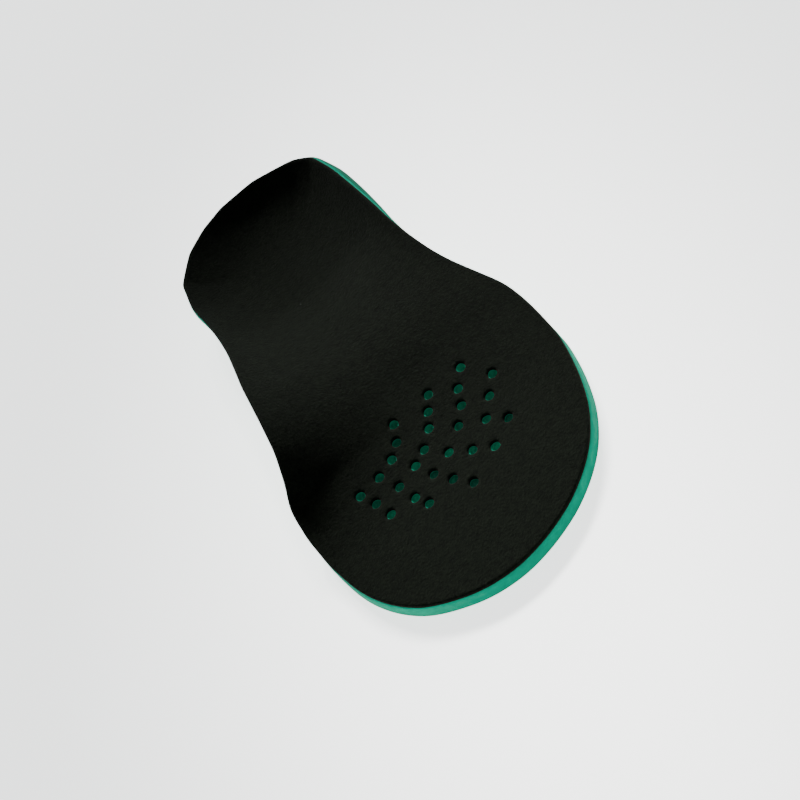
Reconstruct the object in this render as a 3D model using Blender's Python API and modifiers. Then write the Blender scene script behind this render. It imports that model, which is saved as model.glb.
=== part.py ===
# Arch support insole for a left foot, three-quarter length: a green foam base with a black
# brushed fabric cover bonded on its top, and a field of small holes punched through both.
# Metres. +Y runs from the heel to the toes, +X to the arch side, +Z up. The origin is on
# the underside below the middle of the heel, and the underside's flat parts lie on Z = 0.
import math
from collections import namedtuple

import bmesh
import bpy

# Driving sizes
LENGTH = 0.174            # of the top, heel to front edge
FORE_WIDTH = 0.087        # of the top, at the forefoot
HEEL_WIDTH = 0.060        # of the top, at the heel
FORE_SHIFT = 0.003        # the forefoot's middle, sideways from the heel's
FOAM_THICK = 0.0040       # foam under the forefoot and under the heel
HEEL_RISE = 0.0095        # edge of the heel cup above the forefoot's top
ARCH_RISE = 0.0195        # edge of the arch side above the forefoot's top
COVER_THICK = 0.0010
GAP = 0.0003              # between the foam and the cover
HOLE_DIAMETER = 0.0027

# Where the heel's width gives way to the forefoot's, and where the middle line starts and
# ends, all as shares of LENGTH
WIDEN_START = 0.30
WIDEN_END = 0.62
SPINE_START = 0.172
SPINE_END = 0.747

# How finely the shape is divided
SPINE_POINTS = 12
HEEL_RAYS = 9             # ribs fanned round the heel
FRONT_RAYS = 13           # ribs fanned round the front
INNER_RINGS = (0.55, 0.28, 0.10)    # rings of the top, shares of a rib from the edge inwards
HOLE_SIDES = 8
FINE_STEPS = 10

# The foam's wall between its top edge and the underside's edge
SHOULDER_DROP = 0.22      # shares of the wall's height
FLANK_DROP = 0.64
FLANK_BULGE = 0.6         # shares of the bulge and of the tuck that the flank takes
FLANK_TUCK = 0.4
UNDER_MIDWAY = 0.5        # the underside's own ring, between its edge and the middle line
UNDER_SAG = 0.3           # share of the edge's extra height that this ring keeps

# The top edge of the foam, going round from the back of the heel by the arch side.
# along: share of LENGTH. across: share of half the width there, arch side positive.
# heel and arch: shares of HEEL_RISE and ARCH_RISE that add up to the edge's height.
# bulge: how far the wall swells out past the edge, and tuck: how far the underside's edge
# stands in from it, in foam thicknesses. foot: height of the underside's edge, a share of
# ARCH_RISE. bowl: how steeply the top drops inwards from the edge.
EdgeRow = namedtuple("EdgeRow", "along across heel arch bulge tuck foot bowl")
EDGE = [EdgeRow(*row) for row in (
    (-0.008, -0.100, 0.92, 0.00, 0.30, 1.50, 0.00, 3.2),
    (-0.005, 0.290, 0.93, 0.00, 0.25, 1.50, 0.00, 3.2),
    (0.014, 0.580, 0.95, 0.00, 0.18, 1.50, 0.00, 3.2),
    (0.050, 0.805, 1.00, 0.00, 0.14, 1.50, 0.00, 3.2),
    (0.093, 0.955, 0.95, 0.04, 0.12, 1.50, 0.00, 3.0),
    (0.153, 1.000, 0.90, 0.11, 0.10, 1.55, 0.00, 2.8),
    (0.235, 0.980, 0.70, 0.31, 0.06, 1.70, 0.02, 2.5),
    (0.330, 0.985, 0.40, 0.63, 0.02, 1.85, 0.20, 2.1),
    (0.390, 0.945, 0.15, 0.86, -0.03, 1.95, 0.42, 1.8),
    (0.440, 0.895, 0.00, 0.99, -0.06, 2.00, 0.57, 1.6),
    (0.480, 0.845, 0.00, 1.00, -0.08, 1.95, 0.61, 1.5),
    (0.540, 0.805, 0.00, 0.94, -0.08, 1.75, 0.55, 1.5),
    (0.582, 0.810, 0.00, 0.80, -0.06, 1.40, 0.38, 1.5),
    (0.617, 0.880, 0.00, 0.58, -0.03, 0.90, 0.18, 1.6),
    (0.640, 0.970, 0.00, 0.36, 0.00, 0.50, 0.05, 1.8),
    (0.685, 1.003, 0.00, 0.15, 0.04, 0.10, 0.00, 2.0),
    (0.720, 1.005, 0.00, 0.06, 0.06, -0.06, 0.00, 2.0),
    (0.765, 0.998, 0.00, 0.00, 0.08, -0.14, 0.00, 2.0),
    (0.850, 0.935, 0.00, 0.00, 0.09, -0.15, 0.00, 2.0),
    (0.925, 0.765, 0.00, 0.00, 0.06, -0.12, 0.00, 2.0),
    (0.968, 0.530, 0.00, 0.00, 0.05, -0.10, 0.00, 2.0),
    (0.990, 0.330, 0.00, 0.00, 0.05, -0.10, 0.00, 2.0),
    (0.998, 0.080, 0.00, 0.00, 0.05, -0.10, 0.00, 2.0),
    (0.982, -0.255, 0.00, 0.00, 0.05, -0.10, 0.00, 2.0),
    (0.952, -0.490, 0.00, 0.00, 0.06, -0.12, 0.00, 2.0),
    (0.910, -0.680, 0.00, 0.00, 0.08, -0.16, 0.00, 2.0),
    (0.845, -0.840, 0.00, 0.00, 0.09, -0.18, 0.00, 2.0),
    (0.735, -0.978, 0.02, 0.00, 0.06, -0.12, 0.00, 2.0),
    (0.675, -0.998, 0.08, 0.00, 0.02, 0.00, 0.00, 2.0),
    (0.615, -1.003, 0.16, 0.00, -0.02, 0.15, 0.00, 2.0),
    (0.575, -1.000, 0.24, 0.00, -0.04, 0.30, 0.00, 2.0),
    (0.520, -0.972, 0.34, 0.00, -0.06, 0.50, 0.00, 2.1),
    (0.455, -0.960, 0.49, 0.00, -0.05, 0.75, 0.00, 2.2),
    (0.390, -0.990, 0.64, 0.00, 0.00, 0.95, 0.00, 2.4),
    (0.320, -1.020, 0.80, 0.00, 0.18, 1.05, 0.00, 2.7),
    (0.255, -1.020, 0.91, 0.00, 0.42, 1.15, 0.00, 3.0),
    (0.180, -1.002, 0.99, 0.00, 0.64, 1.20, 0.00, 3.2),
    (0.115, -0.980, 1.00, 0.00, 0.68, 1.20, 0.00, 3.2),
    (0.068, -0.955, 0.99, 0.00, 0.55, 1.30, 0.00, 3.2),
    (0.030, -0.810, 0.96, 0.00, 0.38, 1.40, 0.00, 3.2),
    (0.006, -0.510, 0.94, 0.00, 0.32, 1.50, 0.00, 3.2),
)]

# The middle line of the top and of the underside. along and across as above. top: height
# above the forefoot's top, and under: height of the underside, as shares of ARCH_RISE.
SpineRow = namedtuple("SpineRow", "along across top under")
SPINE = [SpineRow(*row) for row in (
    (0.172, 0.000, 0.000, 0.000),
    (0.260, 0.000, 0.020, 0.000),
    (0.330, -0.010, 0.130, 0.025),
    (0.400, -0.020, 0.240, 0.110),
    (0.470, -0.030, 0.280, 0.180),
    (0.540, -0.030, 0.230, 0.150),
    (0.620, -0.030, 0.085, 0.040),
    (0.690, -0.010, 0.020, 0.000),
    (0.747, 0.000, 0.000, 0.000),
)]

# The punched holes, arc by arc from the arch side: shares of LENGTH and of half FORE_WIDTH
HOLE_ARCS = (
    ((0.634, 0.135), (0.663, 0.197), (0.681, 0.290), (0.691, 0.420), (0.694, 0.583)),
    ((0.636, -0.150), (0.660, -0.077), (0.685, -0.010), (0.709, 0.100), (0.721, 0.206),
     (0.730, 0.365), (0.724, 0.540)),
    ((0.640, -0.414), (0.667, -0.310), (0.695, -0.253), (0.721, -0.153), (0.747, 0.001),
     (0.758, 0.157), (0.768, 0.337), (0.759, 0.513)),
    ((0.691, -0.527), (0.719, -0.418), (0.749, -0.305), (0.776, -0.115), (0.792, 0.090),
     (0.795, 0.296)),
    ((0.777, -0.406), (0.801, -0.230), (0.825, 0.013)),
)

EdgePoint = namedtuple("EdgePoint", "x y z bulge tuck foot bowl")
SpinePoint = namedtuple("SpinePoint", "x y top under")
Rib = namedtuple("Rib", "spine heading edge")


def soft_step(share):
    """0 below 0, 1 above 1, and a smooth rise between them."""
    share = min(max(share, 0.0), 1.0)
    return share * share * (3.0 - 2.0 * share)


def sideways(along, across):
    """X of a share of half the width at a share of the length."""
    widened = soft_step((along - WIDEN_START) / (WIDEN_END - WIDEN_START))
    half = 0.5 * (HEEL_WIDTH + (FORE_WIDTH - HEEL_WIDTH) * widened)
    return FORE_SHIFT * widened + across * half


def lengthways(along):
    """Y of a share of the length."""
    return (along - SPINE_START) * LENGTH


def edge_curve():
    """A closed smooth curve through the rows of EDGE, every column carried along."""
    rows = []
    for row in EDGE:
        rise = row.heel * HEEL_RISE + row.arch * ARCH_RISE
        rows.append(EdgePoint(sideways(row.along, row.across), lengthways(row.along),
                              FOAM_THICK + rise, row.bulge * FOAM_THICK,
                              row.tuck * FOAM_THICK, row.foot * ARCH_RISE, row.bowl))
    count = len(rows)
    spans = []
    for i in range(count):
        after = rows[(i + 1) % count]
        spans.append(math.hypot(after.x - rows[i].x, after.y - rows[i].y))
    slopes = []
    for i in range(count):
        reach = spans[i - 1] + spans[i]
        after = rows[(i + 1) % count]
        slopes.append([(b - a) / reach for a, b in zip(rows[i - 1], after)])
    curve = []
    for i in range(count):
        j = (i + 1) % count
        for step in range(FINE_STEPS):
            t = step / FINE_STEPS
            leave = spans[i] * t * (1.0 - t) ** 2
            land = spans[i] * t * t * (t - 1.0)
            point = []
            for low, high, rate, next_rate in zip(rows[i], rows[j], slopes[i], slopes[j]):
                value = low + (high - low) * soft_step(t)
                point.append(value + rate * leave + next_rate * land)
            met = EdgePoint(*point)
            curve.append(met._replace(foot=max(met.foot, 0.0)))
    return curve


def spine_points():
    """The middle line's points, evenly spaced from the heel to the forefoot."""
    points = []
    for k in range(SPINE_POINTS):
        along = SPINE_START + (SPINE_END - SPINE_START) * k / (SPINE_POINTS - 1)
        low = max((row for row in SPINE if row.along <= along), key=lambda row: row.along)
        high = SPINE[min(SPINE.index(low) + 1, len(SPINE) - 1)]
        span = max(high.along - low.along, 1e-9)
        share = soft_step((along - low.along) / span)
        here = [a + (b - a) * share for a, b in zip(low, high)]
        points.append(SpinePoint(sideways(along, here[1]), lengthways(along),
                                 FOAM_THICK + here[2] * ARCH_RISE, here[3] * ARCH_RISE))
    return points


def edge_on_ray(curve, start, heading):
    """The edge where a level ray from a spine point crosses it."""
    side = []
    for p in curve:
        side.append((p.x - start.x) * heading[1] - (p.y - start.y) * heading[0])
    for i in range(len(curve)):
        j = (i + 1) % len(curve)
        if (side[i] < 0.0) == (side[j] < 0.0):
            continue
        share = side[i] / (side[i] - side[j])
        met = EdgePoint(*[a + (b - a) * share for a, b in zip(curve[i], curve[j])])
        if (met.x - start.x) * heading[0] + (met.y - start.y) * heading[1] > 0.0:
            return met
    raise ValueError("the edge does not close round the spine")


def ribs():
    """One rib from each edge point to its spine point, going round once."""
    curve = edge_curve()
    last = SPINE_POINTS - 1
    plan = [(k, 0.0) for k in range(SPINE_POINTS)]
    plan += [(last, math.pi * k / (FRONT_RAYS + 1)) for k in range(1, FRONT_RAYS + 1)]
    plan += [(k, math.pi) for k in reversed(range(SPINE_POINTS))]
    plan += [(0, math.pi * (1.0 + k / (HEEL_RAYS + 1))) for k in range(1, HEEL_RAYS + 1)]
    spine = spine_points()
    found = []
    for k, angle in plan:
        heading = (math.cos(angle), math.sin(angle))
        found.append(Rib(k, heading, edge_on_ray(curve, spine[k], heading)))
    return spine, found


def top_point(middle, edge, share):
    """Point of the foam's top at a share of the rib, from the edge inwards."""
    x = edge.x + (middle.x - edge.x) * share
    y = edge.y + (middle.y - edge.y) * share
    z = middle.top + (edge.z - middle.top) * (1.0 - share) ** edge.bowl
    return (x, y, z)


def wall_points(middle, rib):
    """The wall's shoulder and flank, the underside's edge, and the underside's own ring."""
    edge = rib.edge
    flank = FLANK_BULGE * edge.bulge - FLANK_TUCK * edge.tuck
    points = []
    for out, drop in ((edge.bulge, SHOULDER_DROP), (flank, FLANK_DROP), (-edge.tuck, 1.0)):
        points.append((edge.x + rib.heading[0] * out, edge.y + rib.heading[1] * out,
                       edge.z + (edge.foot - edge.z) * drop))
    foot = points[-1]
    points.append((foot[0] + (middle.x - foot[0]) * UNDER_MIDWAY,
                   foot[1] + (middle.y - foot[1]) * UNDER_MIDWAY,
                   middle.under + (edge.foot - middle.under) * UNDER_SAG))
    return points


def rib_columns(mesh, closed_below):
    """Vertices of every rib, from the top's middle line outwards, and on round the wall."""
    spine, found = ribs()
    top = [mesh.verts.new((p.x, p.y, p.top)) for p in spine]
    under = [mesh.verts.new((p.x, p.y, p.under)) for p in spine] if closed_below else []
    columns = []
    for rib in found:
        middle = spine[rib.spine]
        points = [top_point(middle, rib.edge, share) for share in INNER_RINGS + (0.0,)]
        if closed_below:
            points += wall_points(middle, rib)
        column = [top[rib.spine]]
        column += [mesh.verts.new(point) for point in points]
        if closed_below:
            column.append(under[rib.spine])
        columns.append(column)
    return columns


def add_lofted(name, collection, sharp_rings, closed_below):
    """A cage lofted through the ribs, with the named rings kept sharp."""
    mesh = bmesh.new()
    crease = mesh.edges.layers.float.new("crease_edge")
    columns = rib_columns(mesh, closed_below)
    for i, here in enumerate(columns):
        after = columns[(i + 1) % len(columns)]
        for j in range(len(here) - 1):
            corners = []
            for vert in (here[j], here[j + 1], after[j + 1], after[j]):
                if vert not in corners:
                    corners.append(vert)
            mesh.faces.new(corners)
        for j in sharp_rings:
            mesh.edges.get((here[j], after[j]))[crease] = 1.0
    bmesh.ops.recalc_face_normals(mesh, faces=mesh.faces)
    if not closed_below and sum(face.normal.z for face in mesh.faces) < 0.0:
        bmesh.ops.reverse_faces(mesh, faces=mesh.faces)
    data = bpy.data.meshes.new(name)
    mesh.to_mesh(data)
    mesh.free()
    made = bpy.data.objects.new(name, data)
    collection.objects.link(made)
    smooth = made.modifiers.new("smooth", "SUBSURF")
    smooth.levels = 1
    smooth.render_levels = 1
    return made


def add_hole_pins(collection):
    """Upright pins that cut the holes, past both faces of the foam and the cover."""
    mesh = bmesh.new()
    top = FOAM_THICK + GAP + COVER_THICK + 0.5 * ARCH_RISE
    for arc in HOLE_ARCS:
        for along, across in arc:
            made = bmesh.ops.create_cone(mesh, cap_ends=True, segments=HOLE_SIDES,
                                         radius1=0.5 * HOLE_DIAMETER,
                                         radius2=0.5 * HOLE_DIAMETER,
                                         depth=top + FOAM_THICK)
            place = (sideways(along, across), lengthways(along), 0.5 * (top - FOAM_THICK))
            bmesh.ops.translate(mesh, verts=made["verts"], vec=place)
    data = bpy.data.meshes.new("hole_pins")
    mesh.to_mesh(data)
    mesh.free()
    pins = bpy.data.objects.new("hole_pins", data)
    pins.hide_render = True
    pins.display_type = "WIRE"
    collection.objects.link(pins)
    return pins


def punch(made, pins):
    """Cut the holes."""
    holes = made.modifiers.new("holes", "BOOLEAN")
    holes.operation = "DIFFERENCE"
    holes.solver = "EXACT"
    holes.object = pins


def add_material(made, name, color, roughness):
    """A plain material of one colour."""
    material = bpy.data.materials.new(name)
    material.use_nodes = True
    shader = material.node_tree.nodes["Principled BSDF"]
    shader.inputs["Base Color"].default_value = (*color, 1.0)
    shader.inputs["Roughness"].default_value = roughness
    made.data.materials.append(material)


def add_foam_base(collection, pins):
    """The moulded foam, its top edge and its underside's edge sharp."""
    top_edge = len(INNER_RINGS) + 1
    under_edge = top_edge + 3
    foam = add_lofted("foam_base", collection, (top_edge, under_edge), True)
    punch(foam, pins)
    add_material(foam, "foam_green", (0.010, 0.330, 0.230), 0.75)


def add_top_cover(collection, pins):
    """The fabric cover, an even sheet that follows the foam's top."""
    cover = add_lofted("top_cover", collection, (), False)
    cloth = cover.modifiers.new("cloth", "SOLIDIFY")
    cloth.thickness = COVER_THICK
    cloth.offset = 1.0 + 2.0 * GAP / COVER_THICK
    cloth.use_even_offset = True
    punch(cover, pins)
    add_material(cover, "fabric_black", (0.012, 0.014, 0.013), 0.95)


def add_collection(name):
    """A new collection in the scene."""
    made = bpy.data.collections.new(name)
    bpy.context.scene.collection.children.link(made)
    return made


for old in list(bpy.data.objects):
    bpy.data.objects.remove(old, do_unlink=True)
insole = add_collection("arch_support_insole")
cutters = add_collection("cutters")
cutters.hide_render = True
hole_pins = add_hole_pins(cutters)
add_foam_base(insole, hole_pins)
add_top_cover(insole, hole_pins)
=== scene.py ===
# Arch support insole: a black brushed cover on green foam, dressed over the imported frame.
# Metres. +Y from the heel to the toes, +X to the arch side, +Z up, floor at Z = 0.
import math

import bpy
import numpy as np
from mathutils import Matrix, Vector
from mathutils.geometry import delaunay_2d_cdt


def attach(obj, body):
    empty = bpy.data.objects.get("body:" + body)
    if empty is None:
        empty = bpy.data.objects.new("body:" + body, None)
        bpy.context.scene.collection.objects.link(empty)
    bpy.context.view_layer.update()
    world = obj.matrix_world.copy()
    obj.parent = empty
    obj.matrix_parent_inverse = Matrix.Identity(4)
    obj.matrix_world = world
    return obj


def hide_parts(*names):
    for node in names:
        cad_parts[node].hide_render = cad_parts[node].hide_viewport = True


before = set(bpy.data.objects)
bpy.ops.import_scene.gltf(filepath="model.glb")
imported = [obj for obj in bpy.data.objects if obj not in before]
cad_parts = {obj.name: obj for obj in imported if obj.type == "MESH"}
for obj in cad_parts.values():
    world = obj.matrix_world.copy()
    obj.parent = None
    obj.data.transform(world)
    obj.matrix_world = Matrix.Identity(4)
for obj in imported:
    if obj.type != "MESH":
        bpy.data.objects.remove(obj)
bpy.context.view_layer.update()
mm = 0.001

# The form, as the frame has it
form = dict(length=174 * mm, foreWidth=87 * mm, heelWidth=60 * mm, foreShift=3 * mm,
            foamThick=4 * mm, heelRise=9.5 * mm, archRise=19.5 * mm, coverTop=1.3 * mm,
            widen=(0.30, 0.62), spine=(0.172, 0.747), holeRadius=1.35 * mm)

# Top edge of the foam, round from the back of the heel by the arch side. Columns: along,
# across, heel, arch, bulge, tuck, foot, bowl. Shares of the length, of half the width there,
# of the two rises, of the foam's thickness twice, of the arch's rise, and the bowl's power.
edgeRows = np.array([
    (-0.008, -0.100, 0.92, 0.00, 0.30, 1.50, 0.00, 3.2),
    (-0.005, 0.290, 0.93, 0.00, 0.25, 1.50, 0.00, 3.2),
    (0.014, 0.580, 0.95, 0.00, 0.18, 1.50, 0.00, 3.2),
    (0.050, 0.805, 1.00, 0.00, 0.14, 1.50, 0.00, 3.2),
    (0.093, 0.955, 0.95, 0.04, 0.12, 1.50, 0.00, 3.0),
    (0.153, 1.000, 0.90, 0.11, 0.10, 1.55, 0.00, 2.8),
    (0.235, 0.980, 0.70, 0.31, 0.06, 1.70, 0.02, 2.5),
    (0.330, 0.985, 0.40, 0.63, 0.02, 1.85, 0.20, 2.1),
    (0.390, 0.945, 0.15, 0.86, -0.03, 1.95, 0.42, 1.8),
    (0.440, 0.895, 0.00, 0.99, -0.06, 2.00, 0.57, 1.6),
    (0.480, 0.845, 0.00, 1.00, -0.08, 1.95, 0.61, 1.5),
    (0.540, 0.805, 0.00, 0.94, -0.08, 1.75, 0.55, 1.5),
    (0.582, 0.810, 0.00, 0.80, -0.06, 1.40, 0.38, 1.5),
    (0.617, 0.880, 0.00, 0.58, -0.03, 0.90, 0.18, 1.6),
    (0.640, 0.970, 0.00, 0.36, 0.00, 0.50, 0.05, 1.8),
    (0.685, 1.003, 0.00, 0.15, 0.04, 0.10, 0.00, 2.0),
    (0.720, 1.005, 0.00, 0.06, 0.06, -0.06, 0.00, 2.0),
    (0.765, 0.998, 0.00, 0.00, 0.08, -0.14, 0.00, 2.0),
    (0.850, 0.935, 0.00, 0.00, 0.09, -0.15, 0.00, 2.0),
    (0.925, 0.765, 0.00, 0.00, 0.06, -0.12, 0.00, 2.0),
    (0.968, 0.530, 0.00, 0.00, 0.05, -0.10, 0.00, 2.0),
    (0.990, 0.330, 0.00, 0.00, 0.05, -0.10, 0.00, 2.0),
    (0.998, 0.080, 0.00, 0.00, 0.05, -0.10, 0.00, 2.0),
    (0.982, -0.255, 0.00, 0.00, 0.05, -0.10, 0.00, 2.0),
    (0.952, -0.490, 0.00, 0.00, 0.06, -0.12, 0.00, 2.0),
    (0.910, -0.680, 0.00, 0.00, 0.08, -0.16, 0.00, 2.0),
    (0.845, -0.840, 0.00, 0.00, 0.09, -0.18, 0.00, 2.0),
    (0.735, -0.978, 0.02, 0.00, 0.06, -0.12, 0.00, 2.0),
    (0.675, -0.998, 0.08, 0.00, 0.02, 0.00, 0.00, 2.0),
    (0.615, -1.003, 0.16, 0.00, -0.02, 0.15, 0.00, 2.0),
    (0.575, -1.000, 0.24, 0.00, -0.04, 0.30, 0.00, 2.0),
    (0.520, -0.972, 0.34, 0.00, -0.06, 0.50, 0.00, 2.1),
    (0.455, -0.960, 0.49, 0.00, -0.05, 0.75, 0.00, 2.2),
    (0.390, -0.990, 0.64, 0.00, 0.00, 0.95, 0.00, 2.4),
    (0.320, -1.020, 0.80, 0.00, 0.18, 1.05, 0.00, 2.7),
    (0.255, -1.020, 0.91, 0.00, 0.42, 1.15, 0.00, 3.0),
    (0.180, -1.002, 0.99, 0.00, 0.64, 1.20, 0.00, 3.2),
    (0.115, -0.980, 1.00, 0.00, 0.68, 1.20, 0.00, 3.2),
    (0.068, -0.955, 0.99, 0.00, 0.55, 1.30, 0.00, 3.2),
    (0.030, -0.810, 0.96, 0.00, 0.38, 1.40, 0.00, 3.2),
    (0.006, -0.510, 0.94, 0.00, 0.32, 1.50, 0.00, 3.2),
])

# Middle line: along, across, height of the top and of the underside as shares of the arch's rise
spineRows = np.array([
    (0.172, 0.000, 0.000, 0.000),
    (0.260, 0.000, 0.020, 0.000),
    (0.330, -0.010, 0.130, 0.025),
    (0.400, -0.020, 0.240, 0.110),
    (0.470, -0.030, 0.280, 0.180),
    (0.540, -0.030, 0.230, 0.150),
    (0.620, -0.030, 0.085, 0.040),
    (0.690, -0.010, 0.020, 0.000),
    (0.747, 0.000, 0.000, 0.000),
])

# Punched holes, arc by arc: shares of the length and of half the forefoot's width, and how
# much the foam swells up into the hole
holeShares = np.array([
    (0.634, 0.135, 0.8), (0.663, 0.197, 0.5), (0.681, 0.290, 0.9), (0.691, 0.420, 0.8),
    (0.694, 0.583, 0.9),
    (0.636, -0.150, 0.8), (0.660, -0.077, 0.8), (0.685, -0.010, 0.9), (0.709, 0.100, 0.7),
    (0.721, 0.206, 0.9), (0.730, 0.365, 0.6), (0.724, 0.540, 0.6),
    (0.640, -0.414, 1.0), (0.667, -0.310, 0.9), (0.695, -0.253, 0.7), (0.721, -0.153, 0.6),
    (0.747, 0.001, 0.9), (0.758, 0.157, 0.3), (0.768, 0.337, 0.8), (0.759, 0.513, 0.8),
    (0.691, -0.527, 0.8), (0.719, -0.418, 0.7), (0.749, -0.305, 0.7), (0.776, -0.115, 0.8),
    (0.792, 0.090, 0.4), (0.795, 0.296, 0.7),
    (0.777, -0.406, 0.3), (0.801, -0.230, 0.9), (0.825, 0.013, 0.3),
])


# 3s^2 - 2s^3 between 0 and 1
def softStep(share):
    share = np.clip(share, 0.0, 1.0)
    return share * share * (3.0 - 2.0 * share)


# x = shift * widened + across * half, the half width easing from the heel's to the forefoot's
def sidewaysOf(along, across):
    low, high = form["widen"]
    widened = softStep((along - low) / (high - low))
    half = 0.5 * (form["heelWidth"] + (form["foreWidth"] - form["heelWidth"]) * widened)
    return form["foreShift"] * widened + across * half


# y = (along - start of the middle line) * length
def lengthwaysOf(along):
    return (along - form["spine"][0]) * form["length"]


# Distance run along a closed line, up to each point and once round
def runOf(line):
    gaps = np.linalg.norm(np.roll(line, -1, axis=0)[:, :2] - line[:, :2], axis=1)
    return np.concatenate([[0.0], np.cumsum(gaps)])


# Closed cubic through the rows: each span is a Hermite curve whose end slopes are the
# differences of the neighbours over their run. Sampled evenly, then each point is averaged
# with those one rib away, 1 + 6 + 1 parts in 8, as the subdivided frame is.
def edgeLoop(count, rib=9 * mm):
    along, across, heel, arch, bulge, tuck, foot, bowl = edgeRows.T
    thick = form["foamThick"]
    rows = np.stack([sidewaysOf(along, across), lengthwaysOf(along),
                     thick + heel * form["heelRise"] + arch * form["archRise"],
                     bulge * thick, tuck * thick, foot * form["archRise"], bowl], axis=1)
    spans = np.diff(runOf(rows))[:, None]
    slopes = (np.roll(rows, -1, axis=0) - np.roll(rows, 1, axis=0)) / (spans + np.roll(spans, 1, axis=0))
    t = np.linspace(0.0, 1.0, 40, endpoint=False)[None, :, None]
    low, high = rows[:, None], np.roll(rows, -1, axis=0)[:, None]
    leave, land = slopes[:, None], np.roll(slopes, -1, axis=0)[:, None]
    ease = t * t * (3.0 - 2.0 * t)
    fine = low + (high - low) * ease + spans[:, None] * (leave * t * (1 - t) ** 2 + land * t * t * (t - 1))
    fine = fine.reshape(-1, rows.shape[1])
    run = runOf(fine)
    even = np.linspace(0.0, run[-1], count, endpoint=False)

    def at(where):
        closed = np.concatenate([fine, fine[:1]])
        where = where % run[-1]
        return np.stack([np.interp(where, run, column) for column in closed.T], axis=1)

    loop = (at(even - rib) + 6.0 * at(even) + at(even + rib)) / 8.0
    loop[:, 5] = np.maximum(loop[:, 5], 0.0)
    return loop


# Smooth curve through evenly spaced values: cubic spans whose end slopes are half the
# difference of the neighbours, and level at both ends
def evenCurve(values, share):
    last = len(values) - 1
    place = np.clip(share, 0.0, 1.0) * last
    low = np.minimum(place.astype(int), last - 1)
    t = (place - low)[..., None]
    padded = np.concatenate([values[1:2], values, values[-2:-1]])
    before, start, end, after = (padded[low + k] for k in range(4))
    bend = 2 * before - 5 * start + 4 * end - after
    twist = 3 * start - before - 3 * end + after
    return 0.5 * (2 * start + (end - before) * t + bend * t ** 2 + twist * t ** 3)


# Middle line at a length y. Its twelve points ease from row to row, each is averaged with its
# neighbours, 1 + 6 + 1 parts in 8, and a smooth curve runs through them.
def spineAt(y):
    points = np.linspace(*form["spine"], 12)
    row = np.clip(np.searchsorted(spineRows[:, 0], points, side="right") - 1, 0, len(spineRows) - 2)
    low, high = spineRows[row], spineRows[row + 1]
    values = low + (high - low) * softStep((points - low[:, 0]) / (high[:, 0] - low[:, 0]))[:, None]
    values[1:-1] = (values[:-2] + 6.0 * values[1:-1] + values[2:]) / 8.0
    first, last = form["spine"]
    along = np.clip(y / form["length"] + first, first, last)
    here = evenCurve(values, (along - first) / (last - first))
    top = form["foamThick"] + here[..., 2] * form["archRise"]
    return sidewaysOf(along, here[..., 1]), lengthwaysOf(along), top, here[..., 3] * form["archRise"]


# For points in plan: how far out they lie between the middle line and the loop (0 to 1), the
# reach from one to the other, and the loop's columns there. Beside the middle line the rib is
# level with the point, and beyond its ends it fans out from the end.
def ribOf(loop, x, y):
    middleX, middleY, _, _ = spineAt(y)
    first, last = lengthwaysOf(form["spine"][0]), lengthwaysOf(form["spine"][1])
    dx, dy = x - middleX, y - middleY
    found = np.zeros(x.shape + (loop.shape[1],))
    loopMiddle = spineAt(loop[:, 1])[0]
    for side in (1.0, -1.0):
        pad = 6 * mm
        use = (side * (loop[:, 0] - loopMiddle) > 0) & (loop[:, 1] > first - pad) & (loop[:, 1] < last + pad)
        rows = loop[use]
        rows = rows[np.argsort(rows[:, 1])]
        mine = (side * dx >= 0) & (y >= first) & (y <= last)
        for k in range(loop.shape[1]):
            found[mine, k] = np.interp(y[mine], rows[:, 1], rows[:, k])
    for end, below in ((first, True), (last, False)):
        mine = (y < end) if below else (y > end)
        centre = spineAt(np.array([end]))[0][0]
        turn = -1.0 if below else 1.0
        angle = np.arctan2(turn * (loop[:, 1] - end), loop[:, 0] - centre)
        use = angle > -0.2
        order = np.argsort(angle[use])
        rows = loop[use][order]
        asked = np.arctan2(turn * dy[mine], dx[mine])
        for k in range(loop.shape[1]):
            found[mine, k] = np.interp(asked, angle[use][order], rows[:, k])
    reach = np.hypot(found[..., 0] - middleX, found[..., 1] - middleY)
    return np.hypot(dx, dy) / np.maximum(reach, 1e-6), reach, found


# Top of the foam: middle height + (edge height - middle height) * share out ^ bowl
def topAt(loop, x, y):
    out, _, row = ribOf(loop, x, y)
    top = spineAt(y)[2]
    return top + (row[..., 2] - top) * out ** row[..., 6]


# Underside: middle height + (foot height - middle height) * share out ^ sag
def underAt(loop, x, y, sag=1.74):
    out, _, row = ribOf(loop, x, y)
    under = np.maximum(spineAt(y)[3], 0.0)
    return under + (row[..., 5] - under) * np.minimum(out, 1.0) ** sag


# Unit normals of the top from its slopes, by differences a short step apart
def topNormals(loop, x, y, step=0.5 * mm):
    slopeX = (topAt(loop, x + step, y) - topAt(loop, x - step, y)) / (2 * step)
    slopeY = (topAt(loop, x, y + step) - topAt(loop, x, y - step)) / (2 * step)
    normals = np.stack([-slopeX, -slopeY, np.ones_like(x)], axis=-1)
    return normals / np.linalg.norm(normals, axis=-1, keepdims=True)


# Inward unit normals of a closed line in plan: its tangent turned a quarter to the left
def inwardOf(loop):
    tangent = np.roll(loop, -1, axis=0)[:, :2] - np.roll(loop, 1, axis=0)[:, :2]
    tangent /= np.linalg.norm(tangent, axis=1, keepdims=True)
    return np.stack([-tangent[:, 1], tangent[:, 0]], axis=1)


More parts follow.
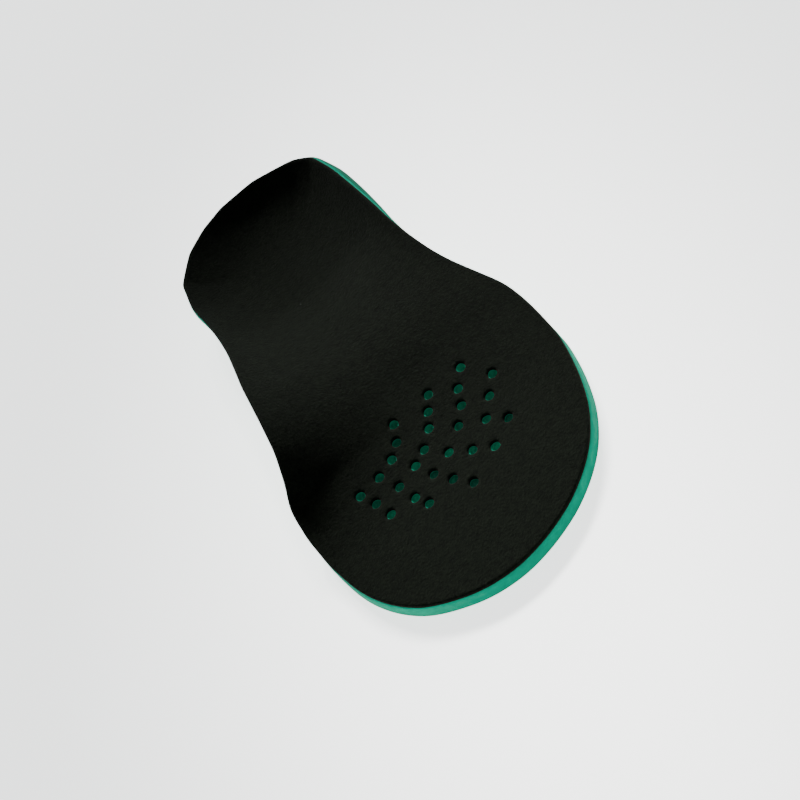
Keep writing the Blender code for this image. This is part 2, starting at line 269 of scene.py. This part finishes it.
# Triangles in plan inside a loop and outside the holes: rows parallel to the loop, rings round
# each hole, and a grid of even triangles between them.
def planSheet(loop, inward, depths, holes, radii, sides, step):
    count = len(loop)
    rows = loop[None, :, :2] + np.array(depths)[:, None, None] * inward[None]
    turn = np.linspace(0.0, 2 * math.pi, sides, endpoint=False)
    circle = np.stack([np.cos(turn), np.sin(turn)], axis=1)
    phase = 2.4 * np.arange(len(holes))[:, None]
    ragged = 1.0 + 0.035 * np.sin(2 * turn + phase) + 0.025 * np.sin(3 * turn - 1.7 * phase)
    rings = holes[:, None, None] + np.array(radii)[None, :, None, None] * ragged[:, None, :, None] * circle
    low, high = loop[:, :2].min(axis=0), loop[:, :2].max(axis=0)
    gridX, gridY = np.meshgrid(np.arange(low[0], high[0], step),
                               np.arange(low[1], high[1], step * 0.866))
    gridX = gridX + 0.5 * step * (np.arange(gridX.shape[0]) % 2)[:, None]
    grid = np.stack([gridX.ravel(), gridY.ravel()], axis=1)
    out, reach, _ = ribOf(loop, grid[:, 0], grid[:, 1])
    clearOfHoles = np.linalg.norm(grid[:, None] - holes[None], axis=2).min(axis=1) > radii[-1] + 0.6 * step
    grid = grid[((1.0 - out) * reach > depths[-1] + 0.9 * step) & clearOfHoles]
    points = np.concatenate([rows.reshape(-1, 2), rings.reshape(-1, 2), grid])
    outer = np.arange(count)
    firstRing = len(depths) * count
    lips = firstRing + np.arange(len(holes))[:, None] * len(radii) * sides + np.arange(sides)[None]
    edges = [(int(a), int(b)) for lip in lips for a, b in zip(lip, np.roll(lip, -1))]
    found = delaunay_2d_cdt(points.tolist(), edges, [outer.tolist()], 1, 1e-8)
    back = np.array([origins[0] for origins in found[3]])
    triangles = back[np.array(found[2])]
    lipOf = np.full(len(points), -1)
    lipOf[lips] = np.arange(len(holes))[:, None]
    owner = lipOf[triangles]
    triangles = triangles[(owner[:, 0] < 0) | (owner != owner[:, :1]).any(axis=1)]
    a, b, c = (points[triangles[:, k]] for k in range(3))
    area = (b - a)[:, 0] * (c - a)[:, 1] - (b - a)[:, 1] * (c - a)[:, 0]
    triangles[area < 0] = triangles[area < 0][:, ::-1]
    depth = np.full(len(points), 1.0)
    depth[:firstRing] = np.repeat(depths, count)
    lipGap = np.linalg.norm(points[:, None] - holes[None], axis=2).min(axis=1) - radii[0]
    return dict(points=points, triangles=triangles, outer=outer, lips=lips, depth=depth, lipGap=lipGap)


# Quads between two closed rows of vertices
def bandFaces(low, high):
    return np.stack([low, np.roll(low, -1), np.roll(high, -1), high], axis=1)


# One mesh object from vertices, triangles and quads, with a named value at each vertex
def addPiece(name, vertices, triangles, quads, marks, material):
    mesh = bpy.data.meshes.new(name)
    corners = np.concatenate([triangles.ravel(), quads.ravel()])
    starts = np.concatenate([np.arange(len(triangles)) * 3,
                             len(triangles) * 3 + np.arange(len(quads)) * 4])
    mesh.vertices.add(len(vertices))
    mesh.loops.add(len(corners))
    mesh.polygons.add(len(starts))
    mesh.vertices.foreach_set("co", vertices.ravel())
    mesh.loops.foreach_set("vertex_index", corners.astype(np.int32))
    mesh.polygons.foreach_set("loop_start", starts.astype(np.int32))
    mesh.polygons.foreach_set("use_smooth", np.ones(len(starts), dtype=bool))
    for label, values in marks.items():
        layer = mesh.attributes.new(label, "FLOAT", "POINT")
        layer.data.foreach_set("value", values.astype(np.float32))
    mesh.update(calc_edges=True)
    mesh.validate()
    mesh.materials.append(material)
    piece = bpy.data.objects.new(name, mesh)
    bpy.context.scene.collection.objects.link(piece)
    return piece


# A node with its properties and inputs set by name
def addNode(tree, kind, **inputs):
    node = tree.nodes.new(kind)
    for label, value in inputs.items():
        if hasattr(node, label):
            setattr(node, label, value)
        else:
            node.inputs[label.replace("_", " ")].default_value = value
    return node


# A material with its shader's roughness and specular level set
def newMaterial(name, roughness, specular):
    material = bpy.data.materials.new(name)
    material.use_nodes = True
    shader = material.node_tree.nodes["Principled BSDF"]
    shader.inputs["Roughness"].default_value = roughness
    shader.inputs["Specular IOR Level"].default_value = specular
    return material, material.node_tree, shader


# Black brushed cloth: a fine nap with a slow mottle, and a few pale specks of lint
def clothMaterial():
    look = dict(dark=(0.0009, 0.0016, 0.0007, 1), pale=(0.0046, 0.0067, 0.0038, 1),
                lint=(0.045, 0.050, 0.045, 1))
    material, tree, shader = newMaterial("brushed_cloth", 0.9, 0.04)
    link = tree.links.new
    shader.inputs["Sheen Weight"].default_value = 0.02
    shader.inputs["Sheen Roughness"].default_value = 0.45
    shader.inputs["Sheen Tint"].default_value = (0.86, 1.0, 0.90, 1)
    place = addNode(tree, "ShaderNodeTexCoord")
    nap = addNode(tree, "ShaderNodeTexNoise", Scale=1300.0, Detail=3.0, Roughness=0.7)
    mottle = addNode(tree, "ShaderNodeTexNoise", Scale=520.0, Detail=3.0, Roughness=0.6)
    tuft = addNode(tree, "ShaderNodeTexNoise", Scale=3800.0, Detail=2.0, Roughness=0.6)
    for node in (nap, mottle, tuft):
        link(place.outputs["Object"], node.inputs["Vector"])
    both = addNode(tree, "ShaderNodeMath", operation="MULTIPLY_ADD")
    both.inputs[1].default_value = 0.6
    link(nap.outputs["Fac"], both.inputs[0])
    scaled = addNode(tree, "ShaderNodeMath", operation="MULTIPLY")
    scaled.inputs[1].default_value = 0.4
    link(mottle.outputs["Fac"], scaled.inputs[0])
    link(scaled.outputs[0], both.inputs[2])
    ramp = addNode(tree, "ShaderNodeValToRGB")
    ramp.color_ramp.elements[0].position = 0.36
    ramp.color_ramp.elements[0].color = look["dark"]
    ramp.color_ramp.elements[1].position = 0.64
    ramp.color_ramp.elements[1].color = look["pale"]
    link(both.outputs[0], ramp.inputs["Fac"])
    specks = addNode(tree, "ShaderNodeTexVoronoi", Scale=75.0)
    link(place.outputs["Object"], specks.inputs["Vector"])
    small = addNode(tree, "ShaderNodeMath", operation="LESS_THAN")
    small.inputs[1].default_value = 0.016
    link(specks.outputs["Distance"], small.inputs[0])
    mix = addNode(tree, "ShaderNodeMix", data_type="RGBA")
    link(small.outputs[0], mix.inputs["Factor"])
    link(ramp.outputs["Color"], mix.inputs["A"])
    mix.inputs["B"].default_value = look["lint"]
    link(mix.outputs["Result"], shader.inputs["Base Color"])
    rough = addNode(tree, "ShaderNodeBump", Strength=1.0, Distance=0.00045)
    link(nap.outputs["Fac"], rough.inputs["Height"])
    fine = addNode(tree, "ShaderNodeBump", Strength=0.8, Distance=0.00014)
    link(tuft.outputs["Fac"], fine.inputs["Height"])
    link(rough.outputs["Normal"], fine.inputs["Normal"])
    link(fine.outputs["Normal"], shader.inputs["Normal"])
    return material


# Green closed-cell foam: fine cells and a slow cloud, paler where it was cut, times the painted light and
# shade held at each vertex
def foamMaterial():
    look = dict(skin=(0.0005, 0.205, 0.122, 1), cut=(0.001, 0.320, 0.200, 1))
    material, tree, shader = newMaterial("closed_cell_foam", 0.8, 0.04)
    link = tree.links.new
    place = addNode(tree, "ShaderNodeTexCoord")
    cells = addNode(tree, "ShaderNodeTexVoronoi", Scale=2600.0)
    cloud = addNode(tree, "ShaderNodeTexNoise", Scale=420.0, Detail=4.0, Roughness=0.6)
    for node in (cells, cloud):
        link(place.outputs["Object"], node.inputs["Vector"])
    cut = addNode(tree, "ShaderNodeAttribute", attribute_name="cut")
    tone = addNode(tree, "ShaderNodeMix", data_type="RGBA")
    tone.inputs["A"].default_value = look["skin"]
    tone.inputs["B"].default_value = look["cut"]
    link(cut.outputs["Fac"], tone.inputs["Factor"])
    vary = addNode(tree, "ShaderNodeMapRange")
    vary.inputs["From Min"].default_value = 0.3
    vary.inputs["From Max"].default_value = 0.7
    vary.inputs["To Min"].default_value = 0.86
    vary.inputs["To Max"].default_value = 1.12
    link(cloud.outputs["Fac"], vary.inputs["Value"])
    # The painted light and shade held at each vertex scales the foam's colour
    paintedLightShade = addNode(tree, "ShaderNodeAttribute", attribute_name="paintedLightShade")
    level = addNode(tree, "ShaderNodeMath", operation="MULTIPLY")
    link(vary.outputs["Result"], level.inputs[0])
    link(paintedLightShade.outputs["Fac"], level.inputs[1])
    shade = addNode(tree, "ShaderNodeVectorMath", operation="SCALE")
    link(tone.outputs["Result"], shade.inputs[0])
    link(level.outputs[0], shade.inputs["Scale"])
    link(shade.outputs["Vector"], shader.inputs["Base Color"])
    bump = addNode(tree, "ShaderNodeBump", Strength=0.35, Distance=0.00012)
    link(cells.outputs["Distance"], bump.inputs["Height"])
    link(bump.outputs["Normal"], shader.inputs["Normal"])
    return material


holes = np.stack([sidewaysOf(*holeShares[:, :2].T), lengthwaysOf(holeShares[:, 0])], axis=1)


# Rise of the foam and of the cloth's underside round a hole: rise * swell * e^-(gap / reach)^2,
# with the gap measured from the hole's rim
def swellAt(points, rise=0.50 * mm, reach=0.75 * mm):
    gaps = np.linalg.norm(points[:, None] - holes[None], axis=2) - form["holeRadius"]
    nearest = gaps.argmin(axis=1)
    gap = np.maximum(gaps[np.arange(len(points)), nearest], 0.0)
    return rise * holeShares[nearest, 2] * np.exp(-(gap / reach) ** 2)


# The hand-cut back rim. Corners: share of the run round the edge, and how far in each lies, in mm.
# The rest: how straight it runs between them, the share over which that starts and stops, how
# often it is evened out, and the wall's swell past the cover: height, middle and width in shares.
rim = dict(pull=0.8, fade=0.03, evened=2, swell=(0.55 * mm, 0.115, 0.035),
           corners=np.array([(-0.1000, 0.0), (-0.0665, 0.0), (-0.0500, 0.7), (-0.0150, 0.1), (0.0137, 0.1),
                             (0.0343, 0.6), (0.0556, 0.5), (0.0845, 0.0), (0.1200, 0.0)]))


# Between its corners the rim runs almost straight: each point moves most of the way to the chord
# through the two corners beside it, and the chords lie in from the smooth edge. Beside the heel
# on the arch side the wall's bulge grows by height * e^-((share - middle) / width)^2.
def cutRim(loop):
    run = runOf(loop)
    share = run[:-1] / run[-1]
    share = np.where(share > 0.5, share - 1.0, share)
    order = np.argsort(share)
    inward = inwardOf(loop)
    places, depths = rim["corners"][:, 0], rim["corners"][:, 1] * mm

    def chordsOf(values, scale=1.0):
        atCorners = [np.interp(places, share[order], values[order, k]) * scale for k in range(2)]
        return np.stack([np.interp(share, places, column) for column in atCorners], axis=1)

    bow = ((chordsOf(loop) - loop[:, :2]) * inward).sum(axis=1)
    rising = softStep((share - places[0]) / rim["fade"])
    falling = softStep((places[-1] - share) / rim["fade"])
    straighten = rim["pull"] * (bow * np.minimum(rising, falling))[:, None] * inward
    near = (share > places[0]) & (share < places[-1])
    cut = loop.copy()
    cut[near, :2] += (chordsOf(inward, depths) + straighten)[near]
    for _ in range(rim["evened"]):
        cut[:, :2] = (np.roll(cut[:, :2], 1, axis=0) + 2 * cut[:, :2] + np.roll(cut[:, :2], -1, axis=0)) / 4
    height, middle, width = rim["swell"]
    cut[:, 3] += height * np.exp(-((share - middle) / width) ** 2)
    return cut


holeSides = 28
smoothLoop = edgeLoop(430)
loop = cutRim(smoothLoop)
print("edge", len(loop), "points,", len(holes), "holes")


# The cover: two sheets a cloth's thickness apart, offset along the top's normals, with their
# rims rounded over by a quarter circle at the outline and at each hole
def makeCover():
    cloth = dict(under=0.25 * mm, top=form["coverTop"], roll=0.62 * mm, lip=0.20 * mm, lipReach=0.5 * mm,
                 fray=0.04 * mm, rows=(0.0, 0.03, 0.10, 0.22, 0.40, 0.62, 1.1, 1.8),
                 rings=(1.35, 1.38, 1.46, 1.60, 1.80, 2.05, 2.5), step=1.0 * mm)
    plan = planSheet(loop, inwardOf(smoothLoop), [row * mm for row in cloth["rows"]], holes,
                     [ring * mm for ring in cloth["rings"]], holeSides, cloth["step"])
    x, y = plan["points"].T
    base = np.stack([x, y, topAt(loop, x, y)], axis=1)
    normals = topNormals(loop, x, y)
    edgeShare = np.clip(1.0 - plan["depth"] / cloth["roll"], 0.0, 1.0)
    lipShare = np.clip(1.0 - plan["lipGap"] / cloth["roll"], 0.0, 1.0)
    drop = cloth["roll"] * (1.0 - np.sqrt(1.0 - edgeShare ** 2))
    drop += 0.7 * cloth["roll"] * (1.0 - np.sqrt(1.0 - lipShare ** 2))
    drop += cloth["lip"] * np.exp(-(plan["lipGap"] / cloth["lipReach"]) ** 2)
    top = base + normals * (cloth["top"] - drop)[:, None]
    under = base + normals * (cloth["under"] + swellAt(plan["points"]))[:, None]
    count = len(x)
    outer, lips = plan["outer"], plan["lips"]
    inward = np.zeros((len(outer), 3))
    inward[:, :2] = inwardOf(smoothLoop)
    middle = 0.5 * (top[outer] + under[outer]) - inward * cloth["fray"]
    middleIds = 2 * count + np.arange(len(outer))
    quads = [bandFaces(outer + count, middleIds), bandFaces(middleIds, outer)]
    triangles = np.concatenate([plan["triangles"], plan["triangles"][:, ::-1] + count])
    quads += [bandFaces(lip, lip + count) for lip in lips]
    vertices = np.concatenate([top, under, middle])
    piece = addPiece("brushedCover", vertices, triangles, np.concatenate(quads), {}, clothMaterial())
    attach(piece, "root")
    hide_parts("top_cover")
    return piece


# The foam's wall: out(w) is a cubic through (0, 0), (0.22, shoulder), (0.64, flank) and
# (1, -tuck), with w the share of the way down from the top edge to the underside's edge.
def wallOut(row, w):
    bulge, tuck = row[:, 3], row[:, 4]
    flank = 0.6 * bulge - 0.4 * tuck
    knots = (0.0, 0.22, 0.64, 1.0)
    values = (0.0 * bulge, (6 * bulge + flank) / 8, (bulge + 6 * flank - tuck) / 8, -tuck)
    total = 0.0
    for i, value in enumerate(values):
        weight = 1.0
        for j, knot in enumerate(knots):
            if j != i:
                weight *= (w - knot) / (knots[i] - knot)
        total = total + value * weight
    return total


# The foam: its top just under the cover, a wall of stacked rows, a flat or hollow underside, and
# a straight tube through each hole: top * (1 - down) + underside * down. Light and shade are painted
# into its colour: on the wall 1 - less * e^-((share - middle) / width)^4 is painted shade on the heel's
# outer side, plus more * the same to the power 2 a painted highlight at the front on the arch side, and
# painted shade darkens step by step down each hole.
def makeFoam():
    # The tube and hole values set painted shade in the holes; the outer heel and arch front values set
    # painted shade and a painted highlight on the wall
    foam = dict(lift=0.18 * mm, corner=0.30 * mm, lip=0.12 * mm, lipReach=0.12 * mm, step=1.7 * mm,
                topRows=(0.0, 0.6, 1.6), topRings=(1.22, 1.30, 1.42, 1.6, 1.9, 2.4),
                underRows=(0.0, 0.35, 1.0, 2.2), underRings=(1.35, 1.8),
                wall=(0.06, 0.14, 0.22, 0.30, 0.40, 0.50, 0.60, 0.70, 0.80, 0.89, 0.95),
                tube=(0.25, 0.50, 0.75), tubePaintedShade=(0.90, 0.64, 0.48), holePaintedShade=(0.25, 0.75),
                outerHeelPaintedShade=(0.62, 0.90, 0.075), archFrontPaintedHighlight=(0.45, 0.42, 0.05))
    inward = inwardOf(smoothLoop)
    topPlan = planSheet(loop, inward, [row * mm for row in foam["topRows"]], holes,
                        [ring * mm for ring in foam["topRings"]], holeSides, foam["step"])
    x, y = topPlan["points"].T
    lift = foam["lift"] + swellAt(topPlan["points"])
    lift -= foam["lip"] * np.exp(-(topPlan["lipGap"] / foam["lipReach"]) ** 2)
    top = np.stack([x, y, topAt(loop, x, y)], axis=1) + topNormals(loop, x, y) * lift[:, None]
    edge = top[topPlan["outer"]]
    footLoop = loop.copy()
    footLoop[:, :2] = edge[:, :2] + inward * loop[:, 4:5]
    underPlan = planSheet(footLoop, inward, [row * mm for row in foam["underRows"]], holes,
                          [ring * mm for ring in foam["underRings"]], holeSides, foam["step"])
    x, y = underPlan["points"].T
    under = np.stack([x, y, underAt(footLoop, x, y)], axis=1)
    under[:, 2] += foam["corner"] * np.clip(1.0 - underPlan["depth"] / foam["corner"], 0, 1) ** 2
    foot = under[underPlan["outer"]]
    rows = []
    for w in foam["wall"]:
        row = np.zeros_like(edge)
        row[:, :2] = edge[:, :2] - inward * wallOut(loop, w)[:, None]
        row[:, 2] = edge[:, 2] + (foot[:, 2] - edge[:, 2]) * w
        rows.append(row)
    tubes = []
    for down in foam["tube"]:
        tubes.append((top[topPlan["lips"]] * (1 - down) + under[underPlan["lips"]] * down).reshape(-1, 3))
    vertices = np.concatenate([top, under] + rows + tubes)
    topCount, underCount, size = len(top), len(under), len(loop)
    wallIds = [topPlan["outer"]]
    wallIds += [topCount + underCount + k * size + np.arange(size) for k in range(len(rows))]
    wallIds.append(underPlan["outer"] + topCount)
    quads = [bandFaces(b, a) for a, b in zip(wallIds[:-1], wallIds[1:])]
    tubeStart = topCount + underCount + len(rows) * size
    for h in range(len(holes)):
        ids = [topPlan["lips"][h]]
        for k in range(len(tubes)):
            ids.append(tubeStart + (k * len(holes) + h) * holeSides + np.arange(holeSides))
        ids.append(underPlan["lips"][h] + topCount)
        quads += [bandFaces(a, b) for a, b in zip(ids[:-1], ids[1:])]
    triangles = np.concatenate([topPlan["triangles"], underPlan["triangles"][:, ::-1] + topCount])
    cut = np.zeros(len(vertices))
    cut[:topCount] = 1.0
    cut[tubeStart:] = 1.0
    share = runOf(loop)[:-1] / runOf(loop)[-1]
    # Painted shade on the heel's outer wall and a painted highlight at the front on the arch side
    less, middle, width = foam["outerHeelPaintedShade"]
    wallPaintedLight = 1.0 - less * np.exp(-((share - middle) / width) ** 4)
    more, middle, width = foam["archFrontPaintedHighlight"]
    wallPaintedLight += more * np.exp(-((share - middle) / width) ** 2)
    paintedLightShade = np.ones(len(vertices))
    paintedLightShade[topCount + underPlan["outer"]] = wallPaintedLight
    paintedLightShade[topCount + underCount:tubeStart] = np.tile(wallPaintedLight, len(rows))
    # Painted shade in the holes: darker at the lip where the foam swells less, and darker step by step down
    # each tube
    holePaintedShade = foam["holePaintedShade"][0] + foam["holePaintedShade"][1] * holeShares[:, 2]
    paintedLightShade[topPlan["lips"]] = holePaintedShade[:, None]
    paintedLightShade[tubeStart:] = np.repeat(np.outer(foam["tubePaintedShade"], holePaintedShade), holeSides)
    marks = {"cut": cut, "paintedLightShade": paintedLightShade}
    piece = addPiece("foamBase", vertices, triangles, np.concatenate(quads), marks, foamMaterial())
    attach(piece, "root")
    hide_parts("foam_base")
    return piece


foamPiece = makeFoam()
print("foam", len(foamPiece.data.polygons), "faces")
coverPiece = makeCover()
print("cover", len(coverPiece.data.polygons), "faces")


# Camera: toe side, 46 degrees up, rolled so that the heel points to the upper left
def addCamera():
    view = dict(target=(3 * mm, 68.9 * mm, 0.0), distance=0.55, up=46.0, roll=-43.0, focalPixels=1982.0)
    up, roll = math.radians(view["up"]), math.radians(view["roll"])
    back = np.array([0.0, math.cos(up), math.sin(up)])
    right = np.cross(-back, [0.0, 0.0, 1.0])
    right /= np.linalg.norm(right)
    above = np.cross(right, -back)
    turnedRight = math.cos(roll) * right + math.sin(roll) * above
    turnedUp = math.cos(roll) * above - math.sin(roll) * right
    data = bpy.data.cameras.new("camera")
    data.sensor_width = 36.0
    data.lens = view["focalPixels"] / 800 * data.sensor_width
    camera = bpy.data.objects.new("camera", data)
    place = np.eye(4)
    place[:3, 0], place[:3, 1], place[:3, 2] = turnedRight, turnedUp, back
    place[:3, 3] = np.array(view["target"]) + view["distance"] * back
    camera.matrix_world = Matrix(place.tolist())
    bpy.context.scene.collection.objects.link(camera)
    bpy.context.scene.camera = camera


# A strip of three soft lamps behind the heel, all turned to the same spot near the toes
def addStrip():
    strip = dict(middle=(-0.25, -0.72, 0.55), apart=0.16, target=(0.004, 0.150, 0.0), radius=0.09,
                 power=99.0, cone=8.4, blend=0.6, color=(1.0, 0.99, 0.97))
    for step in (-1, 0, 1):
        data = bpy.data.lights.new("strip", "SPOT")
        data.energy = strip["power"]
        data.color = strip["color"]
        data.shadow_soft_size = strip["radius"]
        data.spot_size = math.radians(strip["cone"])
        data.spot_blend = strip["blend"]
        lamp = bpy.data.objects.new("strip", data)
        lamp.location = Vector(strip["middle"]) + Vector((step * strip["apart"], 0.0, 0.0))
        aim = Vector(strip["target"]) - lamp.location
        lamp.rotation_euler = aim.to_track_quat("-Z", "Y").to_euler()
        bpy.context.scene.collection.objects.link(lamp)


# A plain pale floor that glows a little, so that it stays even
def addFloor():
    bpy.ops.mesh.primitive_plane_add(size=8.0, location=(0.0, 0.0, 0.0))
    floor = bpy.context.object
    floor.name = "floor"
    material, _, shader = newMaterial("pale_floor", 0.9, 0.1)
    shader.inputs["Base Color"].default_value = (0.92, 0.93, 0.925, 1)
    shader.inputs["Emission Color"].default_value = (0.98, 1.0, 0.995, 1)
    shader.inputs["Emission Strength"].default_value = 2.2
    floor.data.materials.append(material)


addCamera()
addFloor()
addStrip()
world = bpy.data.worlds.new("studio")
world.use_nodes = True
world.node_tree.nodes["Background"].inputs["Color"].default_value = (0.93, 1.0, 0.985, 1)
world.node_tree.nodes["Background"].inputs["Strength"].default_value = 0.26
bpy.context.scene.world = world
print("studio set")
